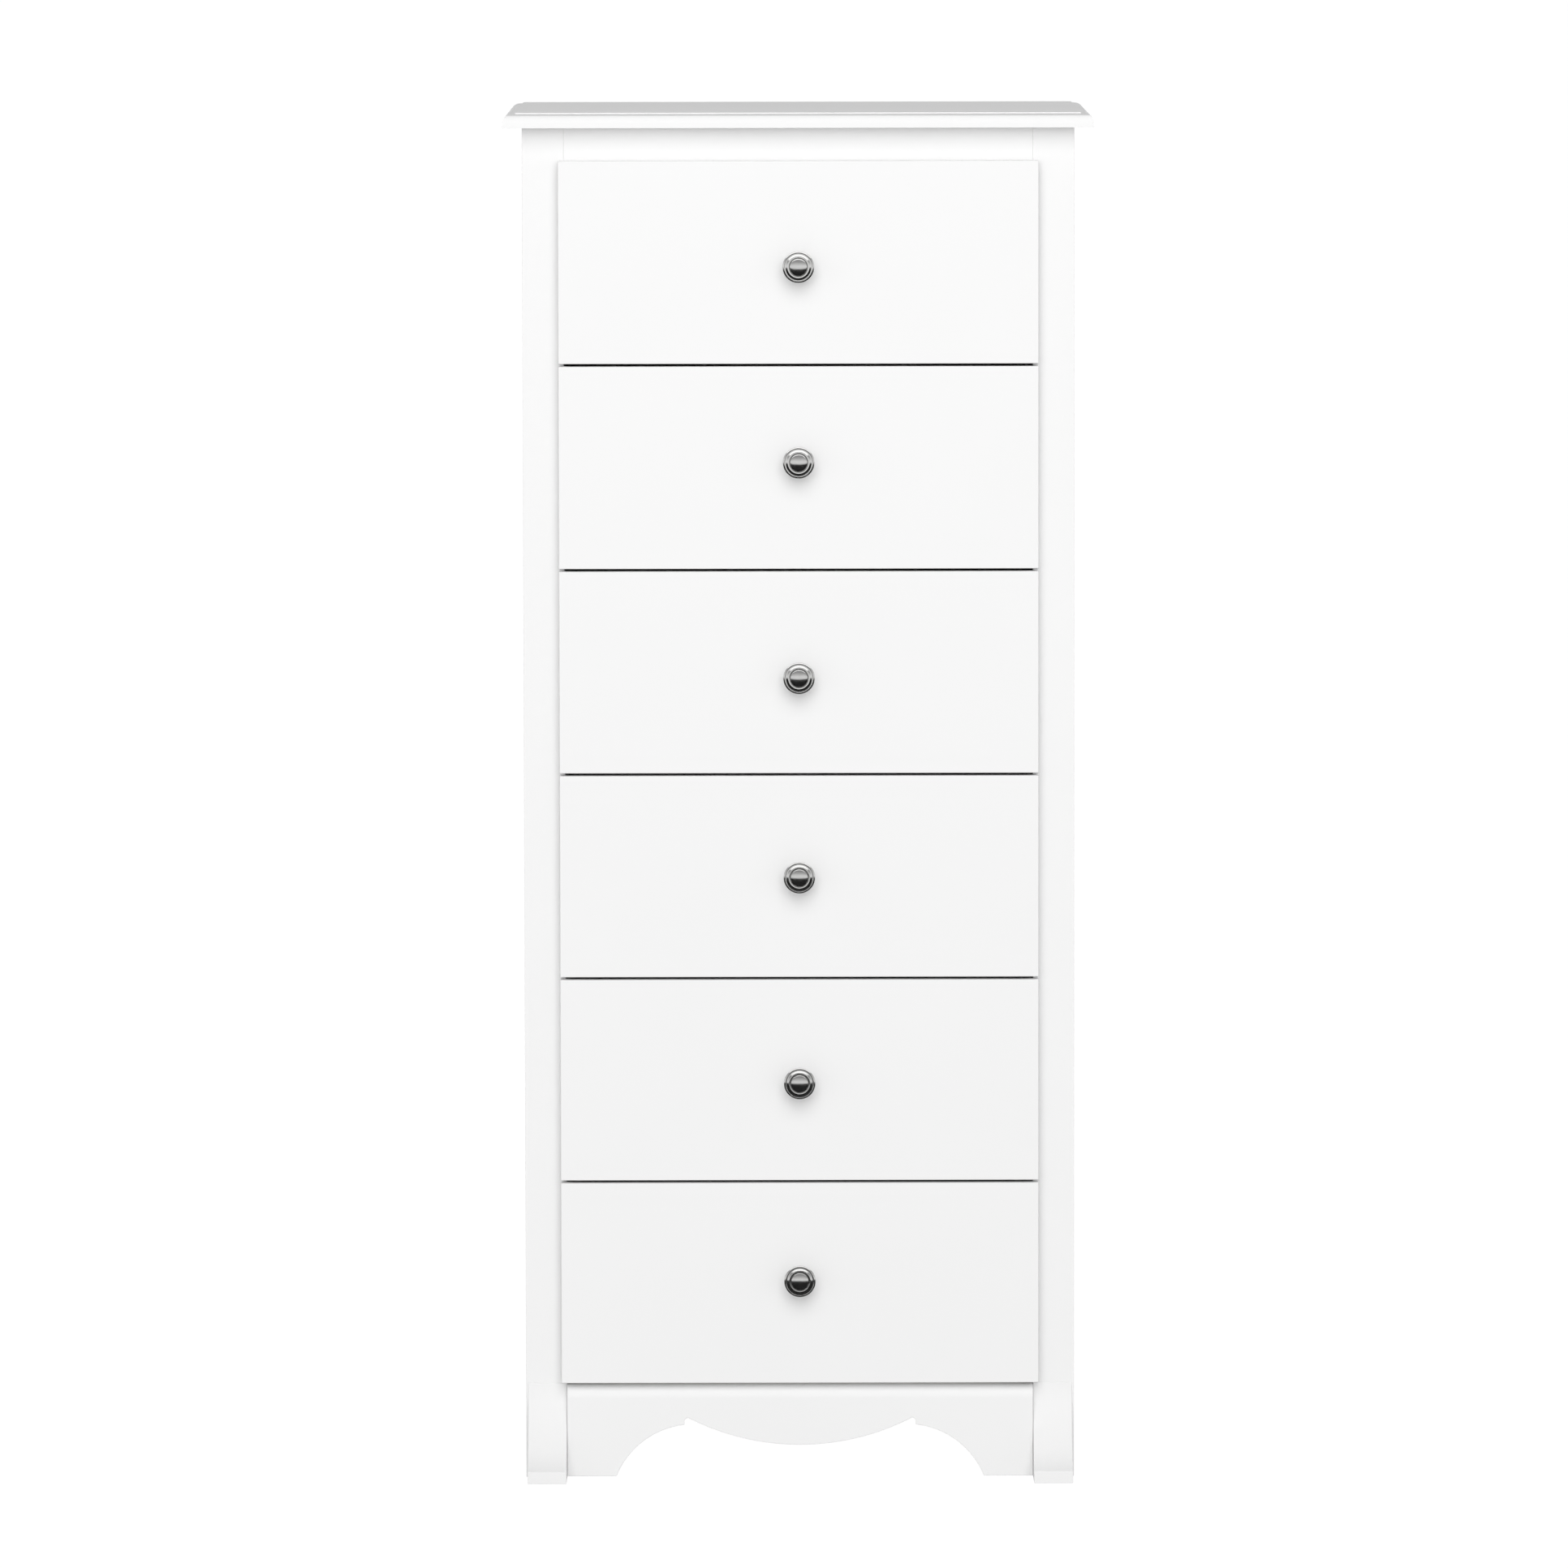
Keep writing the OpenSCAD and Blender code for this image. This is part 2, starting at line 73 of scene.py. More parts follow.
# %% [markdown]
# ## The camera
# A tall piece of furniture looks right through a long lens from far away, because its
# upright edges then stay nearly parallel. The camera stands twelve metres off, a little above
# the top, and looks slightly down, so that a sliver of the top shows. It could also be
# placed by hand; numbers are easier to repeat.

# %% Camera
CAMERA_PLACE = Vector((-0.0263, -12.0, 1.7058))
CAMERA_DOWN = radians(4.855)
CAMERA_YAW = radians(-0.054)
CAMERA_ROLL = radians(0.0977)
LENS = 271.7
SENSOR = 36.0
FAR_ENOUGH = 500.0

camera = bpy.data.objects.new("camera", bpy.data.cameras.new("camera"))
bpy.context.scene.collection.objects.link(camera)
bpy.context.scene.camera = camera
camera.data.sensor_width = SENSOR
camera.data.lens = LENS
camera.data.clip_end = FAR_ENOUGH
camera.matrix_world = (
    Matrix.Translation(CAMERA_PLACE)
    @ Matrix.Rotation(CAMERA_YAW, 4, "Z")
    @ Matrix.Rotation(pi / 2 - CAMERA_DOWN, 4, "X")
    @ Matrix.Rotation(-CAMERA_ROLL, 4, "Z")
)
print("camera at", tuple(round(v, 3) for v in camera.location), "lens", camera.data.lens)

# %% [markdown]
# ## Shader expressions
# A finish is a small network of nodes. Written out node by node it is hard to read, so one
# class wraps a socket and turns Python's + - * into Math nodes, and another one makes every
# other node from its type, its settings and its sockets. Both do what dragging wires in the
# shader editor does.

# %% A socket that can be used in an expression
class Wire:
    """An output socket. Arithmetic on it adds Math nodes to its finish."""

    def __init__(self, finish, socket):
        self.finish = finish
        self.socket = socket

    def math(self, operation, first, second):
        return self.finish.node("ShaderNodeMath", {"operation": operation}, {0: first, 1: second})

    def __add__(self, other):
        return self.math("ADD", self, other)

    def __sub__(self, other):
        return self.math("SUBTRACT", self, other)

    def __mul__(self, other):
        return self.math("MULTIPLY", self, other)

    def __rsub__(self, other):
        return self.math("SUBTRACT", other, self)

    __radd__ = __add__
    __rmul__ = __mul__


# %% A finish and its one way of adding nodes
class Finish:
    """A material whose nodes are made through node()."""

    def __init__(self, name, **constants):
        self.material = bpy.data.materials.new(name)
        self.material.use_nodes = True
        self.tree = self.material.node_tree
        self.shader = self.tree.nodes["Principled BSDF"]
        for socket, value in constants.items():
            self.shader.inputs[socket.replace("_", " ")].default_value = value

    def node(self, kind, settings, sockets, output=0):
        made = self.tree.nodes.new(kind)
        for setting, value in settings.items():
            if setting == "stops":
                stops = made.color_ramp.elements
                while len(stops) < len(value):
                    stops.new(1.0)
                for stop, (position, grey) in zip(stops, value):
                    stop.position = position
                    stop.color = (grey, grey, grey, 1.0)
            else:
                setattr(made, setting, value)
        for socket, value in sockets.items():
            if isinstance(value, Wire):
                self.tree.links.new(value.socket, made.inputs[socket])
            else:
                made.inputs[socket].default_value = value
        return Wire(self, made.outputs[output])

    def place(self, stretch=(1, 1, 1)):
        """Where a point is on the object, in metres, times stretch."""
        where = self.node("ShaderNodeTexCoord", {}, {}, "Object")
        return self.node("ShaderNodeMapping", {}, {"Vector": where, "Scale": stretch})

    def noise(self, where, scale, detail=2.0, roughness=0.5):
        """Clouds with a given number of cells per metre."""
        sockets = {"Vector": where, "Scale": scale, "Detail": detail, "Roughness": roughness}
        return self.node("ShaderNodeTexNoise", {}, sockets)

    def ramp(self, value, stops):
        """A smooth change from grey to grey, from (position, grey) stops."""
        return self.node("ShaderNodeValToRGB", {"stops": stops}, {"Fac": value})

    def colours(self, factor, first, second):
        """A mix of two colours, the first where factor is 0."""
        return self.node(
            "ShaderNodeMix", {"data_type": "RGBA"}, {0: factor, 6: (*first, 1), 7: (*second, 1)}, 2)

    def plug(self, **wires):
        """Links wires to the shader's sockets."""
        for socket, wire in wires.items():
            self.tree.links.new(wire.socket, self.shader.inputs[socket.replace("_", " ")])

    def bump(self, height, depth, strength=1.0):
        """Raises the surface by height (0 to 1) times depth, in metres."""
        sockets = {"Height": height, "Distance": depth, "Strength": strength}
        self.plug(Normal=self.node("ShaderNodeBump", {}, sockets))


# %% [markdown]
# ## The satin white paint
# The fibreboard is sprayed with a satin white lacquer. Close up it isn't flat: it has a very
# fine pebbled skin, broader waves from the spraying, and a sheen that changes a little from
# place to place. Two sizes of noise give that, in bump and roughness, and a third, broader
# one changes the colour by about one part in a hundred. A scanned texture would show more
# but would repeat over the long flat fronts.

# %% Paint
def satin_paint(name, white):
    paint = Finish(name, Specular_IOR_Level=0.42)
    where = paint.place()
    clouds = paint.noise(where, 7.0, 3.0)
    waves = paint.noise(where, 55.0, 2.0)
    pebbles = paint.noise(where, 900.0, 2.0)
    darker = tuple(channel * 0.985 for channel in white)
    paint.plug(
        Base_Color=paint.colours(clouds, darker, white),
        Roughness=0.37 + 0.07 * waves + 0.05 * pebbles,
    )
    paint.bump(0.75 * waves + 0.25 * pebbles, 0.06 * MM)
    return paint.material


PAINT = satin_paint("satin_white_paint", (0.86, 0.86, 0.859))
print("made", PAINT.name)

# %% [markdown]
# ## White foil and white hardboard
# The drawer boxes are wrapped in a printed white foil, whose faint embossed grain runs along
# each board. The drawer bottoms and the back are thin hardboard with a roller coat of
# lacquer: slightly warmer, with a fine mottled skin. Both are noise again, stretched along
# the board for the foil and even for the hardboard.

# %% Foil and hardboard
def white_foil():
    foil = Finish("white_foil", Specular_IOR_Level=0.45)
    along = foil.place(stretch=(150.0, 9.0, 700.0))
    grain = foil.noise(along, 1.0, 4.0, 0.6)
    clouds = foil.noise(foil.place(), 9.0)
    foil.plug(
        Base_Color=foil.colours(
            0.6 * grain + 0.4 * clouds, (0.79, 0.785, 0.76), (0.85, 0.845, 0.825)),
        Roughness=0.42 + 0.12 * grain,
    )
    foil.bump(foil.ramp(grain, [(0.35, 0.0), (0.62, 1.0)]), 0.04 * MM)
    return foil.material


def coated_hardboard():
    board = Finish("white_hardboard", Specular_IOR_Level=0.4)
    mottle = board.noise(board.place(), 420.0, 4.0, 0.65)
    clouds = board.noise(board.place(), 5.0, 3.0)
    board.plug(
        Base_Color=board.colours(
            0.5 * mottle + 0.5 * clouds, (0.77, 0.76, 0.735), (0.85, 0.843, 0.82)),
        Roughness=0.45 + 0.2 * mottle,
    )
    board.bump(mottle, 0.05 * MM)
    return board.material


FOIL = white_foil()
HARDBOARD = coated_hardboard()
print("made", FOIL.name, HARDBOARD.name)

# %% [markdown]
# ## Planed wood
# The rails at the back and the strips that carry the runners are plain planed softwood. Its
# growth rings are broad bands, its fibres are very fine streaks along the length, and the
# planer leaves faint ripples across. The pattern runs along X on the rails and along Y on
# the strips, so the same function is used twice with a different stretch.

# %% Wood
def planed_wood(name, along_x):
    wood = Finish(name, Specular_IOR_Level=0.3)
    rings = (2.2, 34.0, 34.0) if along_x else (34.0, 2.2, 34.0)
    fibres = (14.0, 900.0, 900.0) if along_x else (900.0, 14.0, 900.0)
    bend = wood.noise(wood.place(stretch=rings), 1.0, 2.0)
    bands = wood.node("ShaderNodeMath", {"operation": "FRACT"}, {0: 7.0 * bend})
    streaks = wood.noise(wood.place(stretch=fibres), 1.0, 3.0, 0.7)
    soft_bands = wood.ramp(bands, [(0.15, 0.0), (0.95, 1.0)])
    tint = 0.55 * soft_bands + 0.45 * streaks
    wood.plug(
        Base_Color=wood.colours(tint, (0.74, 0.58, 0.38), (0.55, 0.38, 0.21)),
        Roughness=0.52 + 0.2 * streaks,
    )
    wood.bump(0.7 * streaks + 0.3 * bands, 0.12 * MM)
    return wood.material


RAIL_WOOD = planed_wood("planed_wood_rails", True)
STRIP_WOOD = planed_wood("planed_wood_strips", False)
print("made", RAIL_WOOD.name, STRIP_WOOD.name)

# %% [markdown]
# ## Coated steel, zinc, nickel and nylon
# The runners are white powder coated steel: glossier than the paint, with an orange peel of
# about a millimetre. Screws, brackets and cams are zinc plated, a cool grey metal with
# soft spangles. The knobs are satin nickel with turning lines round their axis, which follow
# an attribute that holds each point's distance from the axis. Rollers are moulded nylon.

# %% Metals and plastic
def powder_coat():
    coat = Finish("white_powder_coat", Specular_IOR_Level=0.5)
    peel = coat.noise(coat.place(), 1100.0, 2.0)
    clouds = coat.noise(coat.place(), 12.0)
    coat.plug(
        Base_Color=coat.colours(clouds, (0.81, 0.81, 0.8), (0.87, 0.87, 0.86)),
        Roughness=0.26 + 0.14 * peel,
    )
    coat.bump(peel, 0.08 * MM)
    return coat.material


def zinc_plate():
    zinc = Finish("zinc_plate", Metallic=1.0)
    spangle = zinc.noise(zinc.place(), 260.0, 3.0, 0.6)
    fine = zinc.noise(zinc.place(), 1800.0, 2.0)
    zinc.plug(
        Base_Color=zinc.colours(spangle, (0.56, 0.58, 0.6), (0.76, 0.77, 0.78)),
        Roughness=0.26 + 0.2 * spangle,
    )
    zinc.bump(0.5 * spangle + 0.5 * fine, 0.03 * MM)
    return zinc.material


def satin_nickel():
    nickel = Finish("satin_nickel", Metallic=1.0)
    radius = nickel.node("ShaderNodeAttribute", {"attribute_name": "turning_radius"}, {}, "Fac")
    across = nickel.node("ShaderNodeCombineXYZ", {}, {"X": radius})
    lines = nickel.noise(across, 9000.0, 2.0)
    clouds = nickel.noise(nickel.place(), 300.0, 2.0)
    nickel.plug(
        Base_Color=nickel.colours(
            0.6 * lines + 0.4 * clouds, (0.52, 0.52, 0.515), (0.68, 0.678, 0.67)),
        Roughness=0.12 + 0.08 * lines + 0.04 * clouds,
    )
    nickel.bump(lines, 0.004 * MM)
    return nickel.material


def moulded_nylon():
    nylon = Finish("moulded_nylon", Specular_IOR_Level=0.5)
    flow = nylon.noise(nylon.place(), 90.0, 3.0)
    nylon.plug(
        Base_Color=nylon.colours(flow, (0.84, 0.84, 0.82), (0.9, 0.9, 0.89)),
        Roughness=0.3 + 0.12 * flow,
    )
    nylon.bump(flow, 0.03 * MM)
    return nylon.material


COATED_STEEL = powder_coat()
ZINC = zinc_plate()
NICKEL = satin_nickel()
NYLON = moulded_nylon()
print("made", COATED_STEEL.name, ZINC.name, NICKEL.name, NYLON.name)

# %% [markdown]
# ## From a bmesh to a finished piece
# Every piece ends the same way: its mesh gets smooth shading with sharp corners kept,
# weighted normals so that large flats stay flat beside their small rounds, and its finish;
# it is parented to its body's empty, and the CAD nodes that it stands for are hidden.

# %% Finished pieces
SHARP = radians(38)


def finished(bm, name, body, slot, material, *nodes):
    mesh = bpy.data.meshes.new(name)
    bm.to_mesh(mesh)
    bm.free()
    mesh.shade_smooth()
    mesh.set_sharp_from_angle(angle=SHARP)
    mesh.materials.append(material)
    piece = bpy.data.objects.new(name, mesh)
    bpy.context.scene.collection.objects.link(piece)
    weighted = piece.modifiers.new("weighted_normals", "WEIGHTED_NORMAL")
    weighted.keep_sharp = True
    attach(piece, body)
    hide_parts(*nodes)
    print(name, "rides on", body, "with", len(mesh.polygons), "faces")
    return piece


# Two points closer than this, in metres, are the same point
SAME = 1e-6


def moved_verts(made):
    """The vertices among the geometry that an operator returns."""
    return [part for part in made if isinstance(part, bmesh.types.BMVert)]


def sharp_edges(bm, angle):
    """Edges where two faces meet at more than angle."""
    return [e for e in bm.edges if e.is_manifold and e.calc_face_angle() > angle]


def ease(bm, edges, width, segments=3):
    """Rounds edges as sandpaper does."""
    bmesh.ops.bevel(
        bm, geom=edges, offset=width, offset_type="OFFSET", segments=segments,
        profile=0.5, affect="EDGES", clamp_overlap=True, material=-1)


# %% [markdown]
# ## Boards with eased edges
# A painted board never has a knife edge: it is sanded before it is sprayed, which leaves a
# round of about a millimetre. The boards' shapes are already right in the CAD model, with
# their grooves and holes, so each one is copied, its triangles are merged into whole faces,
# and the outer edges of each solid are bevelled. A Bevel modifier would also round the
# grooves and holes, which are cut after sanding and are crisp.

# %% Eased copies
def solids(bm):
    """The separate solids of a bmesh, as lists of vertices."""
    left = set(bm.verts)
    found = []
    while left:
        solid = set()
        reached = [left.pop()]
        while reached:
            vert = reached.pop()
            solid.add(vert)
            near = {edge.other_vert(vert) for edge in vert.link_edges} - solid
            left -= near
            reached += [v for v in near if v not in reached]
        found.append(sorted(solid, key=lambda v: v.index))
    return found


def merged(node):
    bm = bmesh.new()
    bm.from_mesh(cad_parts[node].data)
    bmesh.ops.remove_doubles(bm, verts=bm.verts, dist=SAME)
    bmesh.ops.dissolve_limit(bm, angle_limit=radians(0.5), verts=bm.verts, edges=bm.edges)
    bm.verts.index_update()
    bm.edges.index_update()
    return bm


def outer_edges(bm):
    """The edges of each solid's own box that are really there."""
    chosen = []
    for solid in solids(bm):
        low = Vector(map(min, *(v.co for v in solid)))
        high = Vector(map(max, *(v.co for v in solid)))

        def sides(vert):
            return {
                (axis, end) for axis in range(3) for end in (0, 1)
                if abs(vert.co[axis] - (low, high)[end][axis]) < SAME
            }

        edges = sorted({e for v in solid for e in v.link_edges}, key=lambda e: e.index)
        chosen += [e for e in edges if len(sides(e.verts[0]) & sides(e.verts[1])) == 2]
    return chosen


def eased_board(node, body, slot, material, width, name):
    bm = merged(node)
    ease(bm, outer_edges(bm), width)
    return finished(bm, name, body, slot, material, node)


for node in ("left_stile", "right_stile", "top_rail", "bottom_rail"):
    eased_board(node, "case", "painted_board", PAINT, 0.5 * MM, f"{node}_painted")
eased_board("rear_rails", "case", "plain_wood", RAIL_WOOD, 1.0 * MM, "rear_rails_planed")
eased_board("left_bearers", "case", "plain_wood", STRIP_WOOD, 1.0 * MM, "left_bearers_planed")
eased_board("right_bearers", "case", "plain_wood", STRIP_WOOD, 1.0 * MM, "right_bearers_planed")

# %% [markdown]
# ## The back and its nails
# The thin back lies in the rebates of the sides and is nailed all round, into the sides and
# into the two rear rails. Its outer face is moved in by the height of a nail's head, so
# that no head stands further out than the sides do. A head is a disc with its rim bevelled.
# One is made and duplicated to each place, which keeps all of them in one mesh; an Array
# modifier would need a row for each edge.

# %% Back and nails
NAIL_RADIUS = 2.4 * MM
NAIL_RISE = 0.45 * MM
NAIL_SUNK = 0.3 * MM
NAIL_PITCH = 110 * MM
NAIL_FROM_EDGE = 4.0 * MM
RAIL_MIDDLE = 30 * MM


def nailed_back():
    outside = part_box("back_panel")[1].y
    bm = merged("back_panel")
    outer = [v for v in bm.verts if v.co.y > outside - SAME]
    bmesh.ops.translate(bm, vec=(0, -NAIL_RISE, 0), verts=outer)
    ease(bm, outer_edges(bm), 0.3 * MM)
    finished(bm, "back_panel_coated", "case", "white_hardboard", HARDBOARD, "back_panel")


def spaced(start, end):
    gaps = round((end - start) / NAIL_PITCH)
    return [start + (end - start) * i / gaps for i in range(gaps + 1)]


def nail_places():
    low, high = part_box("back_panel")
    left, right = low.x + NAIL_FROM_EDGE, high.x - NAIL_FROM_EDGE
    bottom, top = low.z + RAIL_MIDDLE, high.z - RAIL_MIDDLE
    up_the_sides = [(x, z) for x in (left, right) for z in spaced(bottom, top)]
    return up_the_sides + [(x, z) for z in (bottom, top) for x in spaced(left, right)[1:-1]]


def back_nails():
    bm = bmesh.new()
    bmesh.ops.create_circle(bm, cap_ends=True, segments=16, radius=NAIL_RADIUS)
    top = moved_verts(bmesh.ops.extrude_face_region(bm, geom=bm.faces[:])["geom"])
    bmesh.ops.translate(bm, vec=(0, 0, NAIL_RISE + NAIL_SUNK), verts=top)
    bmesh.ops.recalc_face_normals(bm, faces=bm.faces)
    ease(bm, [e for e in bm.edges if all(v in top for v in e.verts)], 0.3 * MM, 2)
    base_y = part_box("back_panel")[1].y - NAIL_RISE - NAIL_SUNK
    bmesh.ops.rotate(bm, matrix=Matrix.Rotation(-pi / 2, 3, "X"), verts=bm.verts)
    head = bm.verts[:] + bm.edges[:] + bm.faces[:]
    places = nail_places()
    for x, z in places[1:]:
        copied = bmesh.ops.duplicate(bm, geom=head)["geom"]
        bmesh.ops.translate(bm, vec=(x, base_y, z), verts=moved_verts(copied))
    x, z = places[0]
    bmesh.ops.translate(bm, vec=(x, base_y, z), verts=moved_verts(head))
    print("nails in the back:", len(places))
    finished(bm, "back_nails", "case", "zinc", ZINC)


nailed_back()
back_nails()

# %% [markdown]
# ## The side panels
# Each side is one board whose lower edge is cut to a long arch, which leaves two feet. The
# arch's rims are sanded like the other edges, so they are added to the edges that are eased.

# %% Side panels
for side in ("left", "right"):
    node = f"{side}_side_panel"
    bm = merged(node)
    low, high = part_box(node)
    rims = [
        e for e in sharp_edges(bm, radians(60))
        if e not in outer_edges(bm)
        and all(low.z + 0.2 * MM < v.co.z < low.z + 40 * MM for v in e.verts)
        and abs(e.verts[0].co.x - e.verts[1].co.x) < SAME
    ]
    ease(bm, outer_edges(bm) + rims, 0.8 * MM)
    finished(bm, f"{side}_side_panel_painted", "case", "painted_board", PAINT, node)

# %% [markdown]
# ## The moulded top
# The top is one slab with a moulding cut along its front and its two ends: a quarter round,
# a narrow shelf and a small step up to the flat. A router follows the edge of the slab, and
# here a rectangle does the same: it is extruded upwards step by step, and at each step it
# shrinks towards the middle of the back edge, which stays square.

# %% Top
ROUND = 9.0 * MM
SHELF = 3.7 * MM
STEP = 1.2 * MM
ROUND_STEPS = 12


def moulded_top():
    low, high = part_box("top_panel")
    size = high - low
    back_middle = Vector(((low.x + high.x) / 2, high.y, low.z))
    bm = bmesh.new()
    bmesh.ops.create_grid(bm, x_segments=1, y_segments=1, size=0.5)
    bmesh.ops.scale(bm, vec=(size.x, size.y, 1), verts=bm.verts)
    bmesh.ops.translate(bm, vec=back_middle - Vector((0, size.y / 2, 0)), verts=bm.verts)
    under = size.z - STEP - ROUND
    turns = [pi / 2 * n / ROUND_STEPS for n in range(ROUND_STEPS + 1)]
    quarter = [Matrix.Rotation(turn, 2) @ Vector((-ROUND, 0)) for turn in turns]
    section = [(ROUND + p.x, under - p.y) for p in quarter]
    section += [(ROUND + SHELF, under + ROUND), (ROUND + SHELF, size.z)]
    rim = bm.faces[:]
    inset_now, rise_now = 0.0, 0.0
    for inset, rise in section:
        made = bmesh.ops.extrude_face_region(bm, geom=rim)
        if rise_now > 0:
            bmesh.ops.delete(bm, geom=rim, context="FACES_ONLY")
        rim = [f for f in made["geom"] if isinstance(f, bmesh.types.BMFace)]
        verts = rim[0].verts[:]
        wide = (size.x - 2 * inset) / (size.x - 2 * inset_now)
        deep = (size.y - inset) / (size.y - inset_now)
        about_the_back = Matrix.Translation(-back_middle)
        bmesh.ops.scale(bm, vec=(wide, deep, 1), space=about_the_back, verts=verts)
        bmesh.ops.translate(bm, vec=(0, 0, rise - rise_now), verts=verts)
        inset_now, rise_now = inset, rise
    bmesh.ops.recalc_face_normals(bm, faces=bm.faces)
    ease(bm, sharp_edges(bm, radians(50)), 0.45 * MM)
    return finished(bm, "top_panel_painted", "case", "painted_board", PAINT, "top_panel")


moulded_top()

# %% [markdown]
# ## Outlines drawn with arcs
# The apron and the feet are flat boards cut to a curved outline. On a bandsaw the outline is
# drawn first and then cut; here a pen vertex draws it. A straight stretch is an extruded
# vertex and an arc is a spun one, so both end exactly where the CAD outline does.

# %% A pen for outlines
def line_to(bm, pen, point):
    made = bmesh.ops.extrude_vert_indiv(bm, verts=[pen])["verts"][0]
    bmesh.ops.translate(bm, vec=Vector(point) - made.co, verts=[made])
    return made


def arc_to(bm, pen, point, centre, axis, steps):
    start, end, axis = pen.co - Vector(centre), Vector(point) - Vector(centre), Vector(axis)
    angle = atan2(axis.dot(start.cross(end)), start.dot(end))
    made = bmesh.ops.spin(bm, geom=[pen], cent=centre, axis=axis, angle=angle, steps=steps)
    last = moved_verts(made["geom_last"])[0]
    assert (last.co - Vector(point)).length < 0.01 * MM, (last.co, point)
    return last


def arc_radius(half_chord, rise):
    return (half_chord**2 + rise**2) / (2 * rise)


# %% [markdown]
# ## The scalloped apron
# The board between the feet has two arches and a drop in the middle, with a small notch
# beside it, and a broad round along its top edge. Half of the lower edge is drawn and then
# mirrored, as a maker would do with a half template. The filled outline is pushed back to
# the board's thickness and its top front edge is rounded.

# %% Apron
FLAT = 49.5 * MM
ARCH_WIDTH = 68.5 * MM
ARCH_RADIUS = 84.0 * MM
CUSP_HEIGHT = 54.5 * MM
NOTCH_HEIGHT = 61.4 * MM
NOTCH_RADIUS = 3.8 * MM
DROP_HEIGHT = 34.0 * MM
TOP_ROUND = 13.0 * MM


def scalloped_apron():
    low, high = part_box("apron")
    across = Vector((0, 1, 0))
    drop_x = high.x - FLAT - ARCH_WIDTH
    drop_r = arc_radius(drop_x - NOTCH_RADIUS, NOTCH_HEIGHT - DROP_HEIGHT)

    def at(x, z):
        return Vector((x, low.y, z))

    cusp = at(drop_x, CUSP_HEIGHT)
    arch_end = at(high.x - FLAT, low.z)
    chord = arch_end - cusp
    beside = Vector((chord.z, 0, -chord.x)).normalized()
    arch_centre = (cusp + arch_end) / 2 + beside * sqrt(ARCH_RADIUS**2 - chord.length_squared / 4)
    bm = bmesh.new()
    pen = bm.verts.new(at(0, DROP_HEIGHT))
    drop_end = at(drop_x - NOTCH_RADIUS, NOTCH_HEIGHT)
    pen = arc_to(bm, pen, drop_end, at(0, DROP_HEIGHT + drop_r), across, 16)
    notch_centre = at(drop_x - NOTCH_RADIUS, NOTCH_HEIGHT - NOTCH_RADIUS)
    pen = arc_to(bm, pen, notch_centre + Vector((NOTCH_RADIUS, 0, 0)), notch_centre, across, 6)
    pen = line_to(bm, pen, cusp)
    pen = arc_to(bm, pen, arch_end, arch_centre, across, 16)
    for corner in (at(high.x, low.z), at(high.x, high.z), at(0, high.z)):
        pen = line_to(bm, pen, corner)
    bmesh.ops.mirror(bm, geom=bm.verts[:] + bm.edges[:], merge_dist=SAME, axis="X")
    bmesh.ops.remove_doubles(bm, verts=bm.verts, dist=SAME)
    middle = [v for v in bm.verts if abs(v.co.x) < SAME and v.co.z > high.z - SAME]
    bmesh.ops.dissolve_verts(bm, verts=middle)
    bmesh.ops.contextual_create(bm, geom=bm.edges[:])
    pushed = moved_verts(bmesh.ops.extrude_face_region(bm, geom=bm.faces[:])["geom"])
    bmesh.ops.translate(bm, vec=(0, high.y - low.y, 0), verts=pushed)
    bmesh.ops.recalc_face_normals(bm, faces=bm.faces)
    edge = [
        e for e in bm.edges
        if all(v.co.z > high.z - SAME and v.co.y < low.y + SAME for v in e.verts)
    ]
    ease(bm, edge, TOP_ROUND, 14)
    ease(bm, sharp_edges(bm, radians(45)), 0.6 * MM)
    return finished(bm, "apron_painted", "case", "painted_board", PAINT, "apron")


scalloped_apron()

# %% [markdown]
# ## The flared feet
# Each foot is a block on the front of a stile. Its side view is a thin lip at the top, a
# hollow curve that sweeps forward, and a short upright toe. That side view is drawn with the
# pen and pushed across the foot's width. The left foot is the right one mirrored.

# %% Feet
FOOT_LIP = 1.0 * MM
TOE_HEIGHT = 12.0 * MM


def flared_foot(side):
    low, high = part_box("right_foot")
    bm = bmesh.new()
    reach = high.y - low.y
    curve = arc_radius(high.z - TOE_HEIGHT, reach - FOOT_LIP)

    def at(y, z):
        return Vector((low.x, high.y + y, z))

    start = bm.verts.new(at(-FOOT_LIP, high.z))
    pen = arc_to(bm, start, at(-reach, TOE_HEIGHT), at(-FOOT_LIP - curve, high.z), (1, 0, 0), 26)
    for corner in (at(-reach, 0), at(0, 0), at(0, high.z)):
        pen = line_to(bm, pen, corner)
    bm.edges.new((pen, start))
    bmesh.ops.contextual_create(bm, geom=bm.edges[:])
    pushed = moved_verts(bmesh.ops.extrude_face_region(bm, geom=bm.faces[:])["geom"])
    bmesh.ops.translate(bm, vec=(high.x - low.x, 0, 0), verts=pushed)
    if side == "left":
        bmesh.ops.scale(bm, vec=(-1, 1, 1), verts=bm.verts)
    bmesh.ops.recalc_face_normals(bm, faces=bm.faces)
    ease(bm, sharp_edges(bm, radians(20)), 0.7 * MM)
    return finished(bm, f"{side}_foot_painted", "case", "painted_board", PAINT, f"{side}_foot")


for side in ("left", "right"):
    flared_foot(side)

# %% [markdown]
# ## The drawers
# A drawer is a painted front, a box of three foil wrapped boards behind it, and a hardboard
# bottom in a groove. Fronts are eased a little more than the case, because fingers touch
# them. Box and front keep the CAD model's grooves, cam holes and bolt holes.

